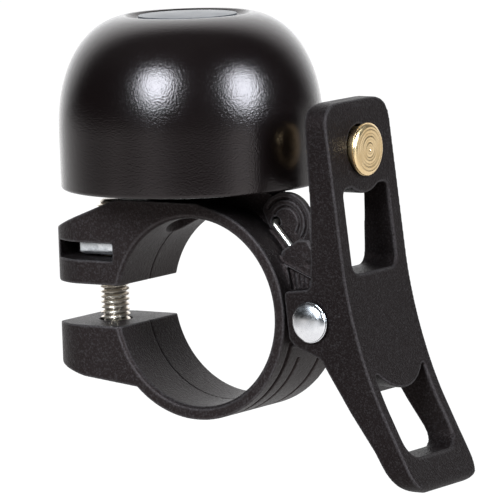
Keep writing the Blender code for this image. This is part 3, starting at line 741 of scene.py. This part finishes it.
def dome_piece(surface):
    turns = [math.pi / 2 * i / 80 for i in range(81)]
    floor = RECESS_Z - DOME_WALL
    inside = DOME_R - DOME_WALL
    rim = [(inside, RIM_Z + 2), (inside, RIM_Z), (DOME_R, RIM_Z), (DOME_R, RIM_Z + 2)]
    rim = fillet(rim, [0, 0.3, 0.5, 0], 8, False)
    side = [(DOME_R, RIM_Z + 2 + i * 0.7) for i in range(1, 8)]
    outer = [shoulder(turn, 0) for turn in turns]
    outer = [point for point in outer if point[0] > 8.6]
    dish = [outer[-1], (8.4, 39.45), (7.8, 38.95)]
    dish += [(RECESS_R, 38.8), (RECESS_R, RECESS_Z), (3.6, RECESS_Z)]
    lip = fillet(dish, [0, 0.35, 0.3, 0.12, 0.15, 0], 6, False)[1:]
    inner = [shoulder(turn, DOME_WALL) for turn in reversed(turns)]
    inner = [point for point in inner if point[1] < floor - 0.2]
    profile = rim + side + outer + lip + [(3.6, floor), (inner[0][0] - 0.4, floor)] + inner
    dome = turned(profile, "Z", (DOME_X, 0, 0), 256, "dome_shell", angle=50)
    dome.data.materials.append(surface)
    return dome


def cap_piece(surface):
    crown = []
    for i in range(25):
        x = i / 24
        crown.append((x * (CAP_R - 0.1), CAP_EDGE_Z + 0.1 + 0.34 * (1 - x * x)))
    edge = [crown[-1], (CAP_R, CAP_EDGE_Z + 0.12), (CAP_R, 39.0), (3.2, 39.0)]
    edge = fillet(edge, [0, 0.1, 0.1, 0], 6, False)
    stem = [(3.2, 31.4), (2.3, 31.4), (2.3, 36.7), (0, 37.4)]
    cap = turned(crown + edge[1:] + stem, "Z", (DOME_X, 0, 0), 160, "dome_cap_disc")
    cap.data.materials.append(surface)
    return cap


def ring_profile(inner, outer, low, high, edge):
    return fillet([(inner, low), (outer, low), (outer, high), (inner, high)], edge, 4)


def hex_cutter(centre_x, low, high):
    return prism(arc((centre_x, 0), SOCKET_FLATS / math.sqrt(3), 0, 300, 5), "Z", low, high)


def thread(depth, low, high):
    """A radius change that cuts an M4 thread between two heights."""

    def swell(turn, height, radius):
        if not low <= height <= high or radius > SCREW_R + 0.2:
            return radius
        phase = (height / SCREW_PITCH - turn / math.tau) % 1.0
        tooth = min(1.0, max(0.0, (abs(phase - 0.5) * 2 - 0.12) / 0.68))
        return min(radius, SCREW_R - depth * (1 - tooth))

    return swell


def threaded_profile(bottom, seat, edge, tip):
    """Half section of a cap screw: socket head, and a shank with a fine row for every bit of thread."""
    head = [(0, bottom), (SCREW_HEAD_R, bottom), (SCREW_HEAD_R, seat), (SCREW_R, seat)]
    rows = fillet(head, [0, edge, 0.1, 0], 6, False)
    step = SCREW_PITCH / 10
    count = int((tip - SCREW_TAPER - seat) / step)
    rows += [(SCREW_R, seat + step * i) for i in range(1, count)]
    for t in (0, 0.15, 0.3, 0.45, 0.6, 0.75, 0.9, 1.0):
        rows.append((SCREW_R - 0.75 * t, tip - SCREW_TAPER + SCREW_TAPER * t))
    return rows + [(0, tip)]


def fasteners(nickel, zinc):
    profile = threaded_profile(-9.1, -7.1, 0.5, SCREW_TIP_Z)
    cutter = thread(0.52, -5.4, SCREW_TIP_Z)
    screw = turned(profile, "Z", (SCREW_X, 0, 0), 72, "clamp_screw_threaded", cutter, 60)
    cut(screw, hex_cutter(SCREW_X, -10, -7.7))
    settle(screw)
    flat = ring_profile(2.3, 4.0, -7.0, -6.4, 0.1)
    washer = turned(flat, "Z", (SCREW_X, 0, 0), 96, "clamp_screw_washer")
    square = rounded_box((SCREW_X - NUT_HALF, -NUT_HALF), (SCREW_X + NUT_HALF, NUT_HALF), 0.55, 6)
    nut = prism(square, "Z", 6.65, 8.5, "square_nut")
    chamfer = [(0, 6.0), (4.2, 6.0), (4.2, 6.65), (5.2, 7.2), (5.2, 8.1), (4.4, 8.5), (4.4, 9), (0, 9)]
    boolean(nut, turned(chamfer, "Z", (SCREW_X, 0, 0)), "INTERSECT")
    hole = [(0, 6), (2.7, 6), (2.7, 6.6), (2.3, 7.0), (2.3, 8.15), (2.7, 8.55), (2.7, 9), (0, 9)]
    cut(nut, turned(hole, "Z", (SCREW_X, 0, 0)))
    settle(nut)
    bevel = nut.modifiers.new("soft", "BEVEL")
    bevel.width = 0.1 * MM
    bevel.segments = 3
    bevel.limit_method = "ANGLE"
    bevel.angle_limit = math.radians(40)
    settle(nut)
    nut.data.shade_smooth()
    nut.data.set_sharp_from_angle(angle=math.radians(40))
    for piece, surface in ((screw, nickel), (washer, nickel), (nut, zinc)):
        coat(piece, surface)
    return screw, washer, nut


def stack_pieces(zinc, aluminium, rubber, white):
    """Bolt, split lock washer, post, isolator and gasket, from the bore up."""
    centre = (DOME_X, 0, 0)
    profile = threaded_profile(13.1, 15.2, 0.4, BOLT_TIP_Z)
    bolt = turned(profile, "Z", centre, 72, "dome_bolt_threaded", thread(0.42, 17, BOLT_TIP_Z), 60)
    cut(bolt, hex_cutter(DOME_X, 12, 14.5))
    settle(bolt)
    lock = turned(ring_profile(2.3, 3.5, 15.3, 16.05, 0.1), "Z", centre, 96, "split_lock_washer")
    near, far = DOME_X + 2, DOME_X + 4
    cut(lock, prism([(near, -0.1), (far, -0.5), (far, -0.1), (near, 0.3)], "Z", 15, 17))
    settle(lock)
    post = [(2.3, 19.1), (4.6, 19.1), (4.6, 24.0), (4.35, 24.25), (4.35, 25.25), (4.6, 25.5)]
    post += [(4.6, 35.8), (3.5, 35.8), (3.5, 31), (2.3, 31)]
    post = turned(fillet(post, 0.18, 4), "Z", centre, 128, "post_sleeve")
    isolator = turned(ring_profile(3.6, 6.0, 35.9, 36.9, 0.2), "Z", centre, 128, "isolator_ring")
    gasket = turned(ring_profile(3.6, 6.3, 38.4, 38.8, 0.12), "Z", centre, 128, "gasket_ring")
    coats = ((bolt, zinc), (lock, zinc), (post, aluminium), (isolator, white), (gasket, rubber))
    for piece, surface in coats:
        coat(piece, surface)
    return bolt, lock, post, isolator, gasket


# ---------------------------------------------------------------- striker, pin and spring


def striker_piece(surface):
    turns = [math.pi / 2 * i / 14 for i in range(15)]
    tip = [(3.0 * math.sin(turn), STRIKER_TIP_X + 0.8 * (1 - math.cos(turn))) for turn in turns]
    body = [(3.0, 23.45), (3.5, 23.45), (3.5, 24.3)]
    side = fillet([tip[-1], *body, (0, 24.3)], [0, 0.1, 0.1, 0.0, 0], 4, False)[1:-2]
    side += [(3.5, 23.72), (3.42, 23.76), (3.42, 23.84), (3.5, 23.88)]
    side += [(3.5, 23.96), (3.4, 24.06), (2.96, 24.29), (2.9, 24.28)]
    face = []
    for i in range(60):
        radius = 2.86 * (1 - i / 60)
        wave = 0.009 * math.sin(math.tau * radius / 0.43) + 0.011 * math.sin(math.tau * radius / 0.97 + 1)
        face.append((radius, 24.27 - wave - (0.05 if radius < 0.22 else 0)))
    profile = tip + side + face + [(0, 24.24)]
    slug = turned(profile, "X", (0, 0, STRIKER_Z), 128, "brass_striker", angle=50)
    slug.data.materials.append(surface)
    return slug


def pin_pieces(chrome, zinc):
    centre = (PIVOT[0], 0, PIVOT[1])
    seat = -LEVER_HALF - 0.3
    turns = [math.pi / 2 * i / 20 for i in range(21)]
    dome = [(2.62 * math.sin(turn), seat - 0.25 - 0.85 * math.cos(turn)) for turn in turns]
    rim = [dome[-1], (2.7, seat - 0.2), (2.7, seat), (PIN_R, seat)]
    rim += [(PIN_R, PIN_END_Y - 0.25), (0.8, PIN_END_Y), (0, PIN_END_Y)]
    rim = fillet(rim, [0, 0.06, 0.06, 0.05, 0.1, 0.08, 0], 4, False)
    pin = turned(dome + rim[1:], "Y", centre, 128, "pivot_pin_polished", angle=50)
    pin.data.materials.append(chrome)
    low = LEVER_HALF + 0.3
    cup = [(1.1, low + 0.2), (3.0, low), (3.0, low + 0.3), (2.4, low + 0.55), (1.1, low + 0.8)]
    nut = turned(fillet(cup, 0.08, 4), "Y", centre, 96, "push_nut_dished")
    slots = []
    for i in range(4):
        slot = prism(rounded_box((-0.16, 0.8), (0.16, 2.1), 0.12), "Y", low - 1, low + 2)
        turn = Matrix.Rotation(math.radians(45 + 90 * i), 4, "Y")
        slot.data.transform(Matrix.Translation(Vector(centre) * MM) @ turn)
        slots.append(slot)
    cut(nut, *slots)
    settle(nut)
    coat(nut, zinc)
    return pin, nut


def spring_points():
    start, end = leg_line()
    front, back = COIL_Y
    corner = Vector((end.x, front, end.y))
    points = [corner + Vector((0, 1.6, 0)), corner + Vector((0, 0.8, 0))]
    down = Vector((start.x - end.x, 0, start.y - end.y)).normalized()
    for i in range(7):
        turn = math.pi / 2 * i / 6
        inward = Vector((0, BEND_R * (1 - math.sin(turn)), 0))
        points.append(corner + inward + down * BEND_R * (1 - math.cos(turn)))
    points.append(Vector((start.x, front, start.y)) - down * 4)
    first = math.atan2(start.y - PIVOT[1], start.x - PIVOT[0])
    sweep = math.radians(FREE_LEG_ANGLE + 90) - first - math.tau * COIL_TURNS
    for i in range(241):
        turn = first + sweep * i / 240
        depth = front + (back - front) * i / 240
        spoke = Vector((math.cos(turn), 0, math.sin(turn))) * COIL_R
        points.append(Vector((PIVOT[0], depth, PIVOT[1])) + spoke)
    leg = Vector((math.cos(math.radians(FREE_LEG_ANGLE)), 0, math.sin(math.radians(FREE_LEG_ANGLE))))
    return points + [points[-1] + leg * 1.5, points[-1] + leg * 3.0, points[-1] + leg * 4.7]


def spring_piece(surface):
    """Round wire swept along its path as one closed mesh."""
    points = spring_points()
    shape = bmesh.new()
    rings = []
    side = Vector((0, 0, 1))
    around = [math.tau * k / WIRE_SIDES for k in range(WIRE_SIDES)]
    for i, point in enumerate(points):
        ahead = (points[min(i + 1, len(points) - 1)] - points[max(i - 1, 0)]).normalized()
        side = (side - ahead * side.dot(ahead)).normalized()
        up = ahead.cross(side)
        spokes = [side * math.cos(turn) + up * math.sin(turn) for turn in around]
        rings.append([shape.verts.new(point + spoke * WIRE_R) for spoke in spokes])
    for low, high in zip(rings, rings[1:]):
        for k in range(WIRE_SIDES):
            j = (k + 1) % WIRE_SIDES
            shape.faces.new([low[k], low[j], high[j], high[k]])
    shape.faces.new(rings[0][::-1])
    shape.faces.new(rings[-1])
    spring = new_piece("torsion_spring_wire", shape, 60)
    spring.data.materials.append(surface)
    return spring


# ---------------------------------------------------------------- studio


def camera():
    """The telephoto view: turned about Z, raised a little, with a slight tilt."""
    turn, rise, roll = (math.radians(value) for value in (34.451, 7.473, -1.907))
    back = Vector((math.sin(turn) * math.cos(rise), -math.cos(turn) * math.cos(rise), math.sin(rise)))
    right = Vector((math.cos(turn), math.sin(turn), 0))
    up = back.cross(right)
    tilted = math.cos(roll) * right + math.sin(roll) * up
    upright = -math.sin(roll) * right + math.cos(roll) * up
    spot = (back * 677.6 + tilted * 3.524 + upright * 7.536) * MM
    data = bpy.data.cameras.new("camera")
    data.lens = 361.6
    data.sensor_width = 36
    data.clip_start = 0.01
    data.clip_end = 50
    made = bpy.data.objects.new("camera", data)
    made.matrix_world = Matrix.Translation(spot) @ Matrix((tilted, upright, back)).transposed().to_4x4()
    bpy.context.scene.collection.objects.link(made)
    bpy.context.scene.camera = made


def lamp(name, azimuth, elevation, distance, radius, radiance, colour=(1, 1, 1), aim=(0, 0, 0.012)):
    """A round softbox, placed by its direction from the bell, as seen from above."""
    turn, rise = math.radians(azimuth), math.radians(elevation)
    away = Vector((math.sin(turn) * math.cos(rise), -math.cos(turn) * math.cos(rise), math.sin(rise)))
    data = bpy.data.lights.new(name, "AREA")
    data.shape = "DISK"
    data.size = 2 * radius
    data.energy = radiance * math.pi * math.pi * radius * radius
    data.color = colour
    made = bpy.data.objects.new(name, data)
    facing = away.to_track_quat("Z", "Y").to_matrix().to_4x4()
    made.matrix_world = Matrix.Translation(Vector(aim) + away * distance) @ facing
    made.visible_camera = False
    bpy.context.scene.collection.objects.link(made)


# Light from low directions: (azimuth, brightness), azimuth as for a lamp
HORIZON = (
    (-180, 0.95), (-145, 1.0), (-110, 1.0), (-98, 0.84), (-78, 0.49), (-60, 0.34), (-45, 0.42),
    (-34, 0.68), (-22, 0.4), (-10, 0.55), (-2, 0.8), (7, 0.55), (20, 0.2), (45, 0.11),
    (62, 0.28), (76, 1.25), (86, 0.95), (98, 0.3), (115, 0.5), (140, 0.8), (180, 0.95),
)  # fmt: skip


def surroundings(tree, direction):
    """Brightness of the room seen from the bell in a direction: a bright backdrop, a streaky
    floor towards the horizon, a pale floor close by, and dark on the camera's side."""

    def node(kind, *inputs, **settings):
        made = tree.nodes.new(kind)
        for name, value in settings.items():
            setattr(made, name, value)
        for slot, value in zip(made.inputs, inputs):
            if isinstance(value, (int, float, tuple)):
                slot.default_value = value
            else:
                tree.links.new(value, slot)
        return made

    def ramp(value, start, end, low, high):
        made = node("ShaderNodeMapRange", interpolation_type="SMOOTHSTEP")
        for slot, number in (("From Min", start), ("From Max", end), ("To Min", low), ("To Max", high)):
            made.inputs[slot].default_value = number
        tree.links.new(value, made.inputs["Value"])
        return made.outputs["Result"]

    def lobe(towards, start, end, peak):
        axis = tuple(Vector(towards).normalized())
        dot = node("ShaderNodeVectorMath", unit, axis, operation="DOT_PRODUCT")
        return ramp(dot.outputs["Value"], start, end, 0.0, peak)

    unit = node("ShaderNodeVectorMath", direction, operation="NORMALIZE").outputs["Vector"]
    split = node("ShaderNodeSeparateXYZ", unit)
    back = node("ShaderNodeMath", split.outputs["Y"], -1.0, operation="MULTIPLY").outputs[0]
    turn = node("ShaderNodeMath", split.outputs["X"], back, operation="ARCTAN2").outputs[0]
    around = node("ShaderNodeMapRange", turn, -math.pi, math.pi, 0.0, 1.0).outputs["Result"]
    band = node("ShaderNodeValToRGB", around)
    stops = band.color_ramp.elements
    for azimuth, level in HORIZON[1:-1]:
        stops.new((azimuth + 180) / 360).color = (level, level, level, 1)
    for stop, (_, level) in ((stops[0], HORIZON[0]), (stops[-1], HORIZON[-1])):
        stop.color = (level, level, level, 1)
    height = split.outputs["Z"]
    low_down = ramp(height, 0.02, -0.07, 0.0, 1.0)
    horizon = node("ShaderNodeMath", band.outputs["Color"], low_down, operation="MULTIPLY")
    behind = lobe((-0.5316, 0.7749, 0.342), 0.49, 0.95, 1.8)
    above = lobe((-0.3, 0.0, 1.0), 0.5, 1.0, 0.1)
    total = horizon.outputs[0]
    for layer in (behind, above, ramp(height, -0.1, -0.3, 0.0, 0.8)):
        total = node("ShaderNodeMath", total, layer, operation="MAXIMUM").outputs[0]
    return total


def for_camera(tree, others):
    """White for the camera, and the given brightness for every other ray."""
    path = tree.nodes.new("ShaderNodeLightPath")
    seen = tree.nodes.new("ShaderNodeMix")
    tree.links.new(path.outputs["Is Camera Ray"], seen.inputs["Factor"])
    tree.links.new(others, seen.inputs["A"])
    seen.inputs["B"].default_value = 1.0
    return seen.outputs["Result"]


def studio():
    scene = bpy.context.scene
    scene.view_settings.view_transform = "Standard"
    scene.view_settings.look = "None"
    lamp("key_light", 2.0, 30.0, 0.5, 0.12, 28.0, (0.87, 0.98, 1.08))
    lamp("side_light", 86.0, 24.0, 0.5, 0.12, 27.0, (0.87, 0.98, 1.08))
    world = bpy.data.worlds.new("studio")
    scene.world = world
    world.use_nodes = True
    tree = world.node_tree
    tree.nodes.clear()
    where = tree.nodes.new("ShaderNodeTexCoord")
    glow = tree.nodes.new("ShaderNodeBackground")
    glow.inputs["Color"].default_value = (0.98, 0.99, 1.0, 1)
    level = for_camera(tree, surroundings(tree, where.outputs["Generated"]))
    tree.links.new(level, glow.inputs["Strength"])
    out = tree.nodes.new("ShaderNodeOutputWorld")
    tree.links.new(glow.outputs["Background"], out.inputs["Surface"])


def floor():
    shape = bmesh.new()
    corners = [(-4000, -4000), (4000, -4000), (4000, 4000), (-4000, 4000)]
    shape.faces.new([shape.verts.new((x, y, -60)) for x, y in corners])
    made = new_piece("studio_floor", shape)
    surface = bpy.data.materials.new("studio_floor_white")
    surface.use_nodes = True
    tree = surface.node_tree
    shader = tree.nodes["Principled BSDF"]
    shader.inputs["Base Color"].default_value = (0.08, 0.08, 0.08, 1)
    shader.inputs["Roughness"].default_value = 0.9
    shader.inputs["Specular IOR Level"].default_value = 0.0
    shader.inputs["Emission Color"].default_value = (1, 1, 1, 1)
    where = tree.nodes.new("ShaderNodeTexCoord")
    level = for_camera(tree, surroundings(tree, where.outputs["Object"]))
    tree.links.new(level, shader.inputs["Emission Strength"])
    made.data.materials.append(surface)


# ---------------------------------------------------------------- build


def show(piece, node, body):
    """piece stands in for a CAD node, which is hidden, and moves with its body."""
    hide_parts(node)
    if body:
        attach(piece, body)


def build():
    # The last colour of each nylon gives the pale specks of wear and the painted highlight along the
    # edges.
    nylon = moulded_nylon(
        "clamp_nylon", (0.006, 0.0042, 0.0041), (0.0088, 0.0066, 0.0064), (0.056, 0.051, 0.051), 0.21
    )
    lever_nylon = moulded_nylon(
        "lever_nylon", (0.0038, 0.0026, 0.0025), (0.0055, 0.004, 0.0039), (0.038, 0.034, 0.034), 0.12
    )
    brass = turned_metal(
        "brass_turned", (0.88, 0.66, 0.37), 0.26, 0.3, 0.02, (0.72, 0.49, 0.23), "X", (0, 0, STRIKER_Z)
    )
    pin_axis = (PIVOT[0], 0, PIVOT[1])
    chrome = turned_metal(
        "chrome_polished", (0.88, 0.87, 0.88), 0.19, 0.3, 0.0008, (0.72, 0.71, 0.73), "Y", pin_axis
    )
    nickel = plated_steel("nickel_plate", (0.86, 0.8, 0.71), 0.3, (0.68, 0.6, 0.51), 0.002, SCREW_X)
    zinc = plated_steel("zinc_plate", (0.92, 0.95, 0.99), 0.2, (0.76, 0.82, 0.9), 0.012)
    # A lighter, glossier copy of the zinc plate for the nut, which lies in shade in its slot: painted
    # light.
    bright = plated_steel("nut_plate", (0.96, 0.98, 1.0), 0.14, (0.84, 0.88, 0.93), 0.003)
    wire = plated_steel("spring_wire", (0.74, 0.72, 0.68), 0.28, (0.52, 0.46, 0.36))
    aluminium = turned_metal(
        "aluminium_turned", (0.78, 0.78, 0.79), 0.32, 0.15, 0.005, (0.6, 0.6, 0.62), "Z", (DOME_X, 0, 0)
    )
    rubber = soft_plain("gasket_rubber", (0.02, 0.02, 0.02), (0.035, 0.034, 0.033), 0.75)
    white = soft_plain("isolator_nylon", (0.68, 0.66, 0.62), (0.58, 0.55, 0.5), 0.45)

    show(clamp_piece(nylon), "clamp_body", "root")
    show(lever_piece(lever_nylon), "lever_arm", "lever")
    show(dome_piece(gloss_paint()), "bell_dome", "root")
    show(cap_piece(satin_paint()), "dome_cap", "root")
    show(striker_piece(brass), "striker", "lever")
    screw, washer, nut = fasteners(nickel, bright)
    show(screw, "clamp_screw", "screw")
    show(washer, "clamp_washer", "screw_slider")
    show(nut, "clamp_nut", "root")
    bolt, lock, post, isolator, gasket = stack_pieces(zinc, aluminium, rubber, white)
    show(bolt, "dome_bolt", "root")
    show(lock, "bolt_lock_washer", "root")
    show(post, "dome_post", "root")
    show(isolator, "dome_isolator", "root")
    show(gasket, "cap_gasket", "root")
    pin, push_nut = pin_pieces(chrome, zinc)
    show(pin, "pivot_pin", "root")
    show(push_nut, "pin_push_nut", "root")
    spring = spring_piece(wire)
    show(spring, "lever_spring", None)
    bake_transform(spring)


build()
floor()
studio()
camera()
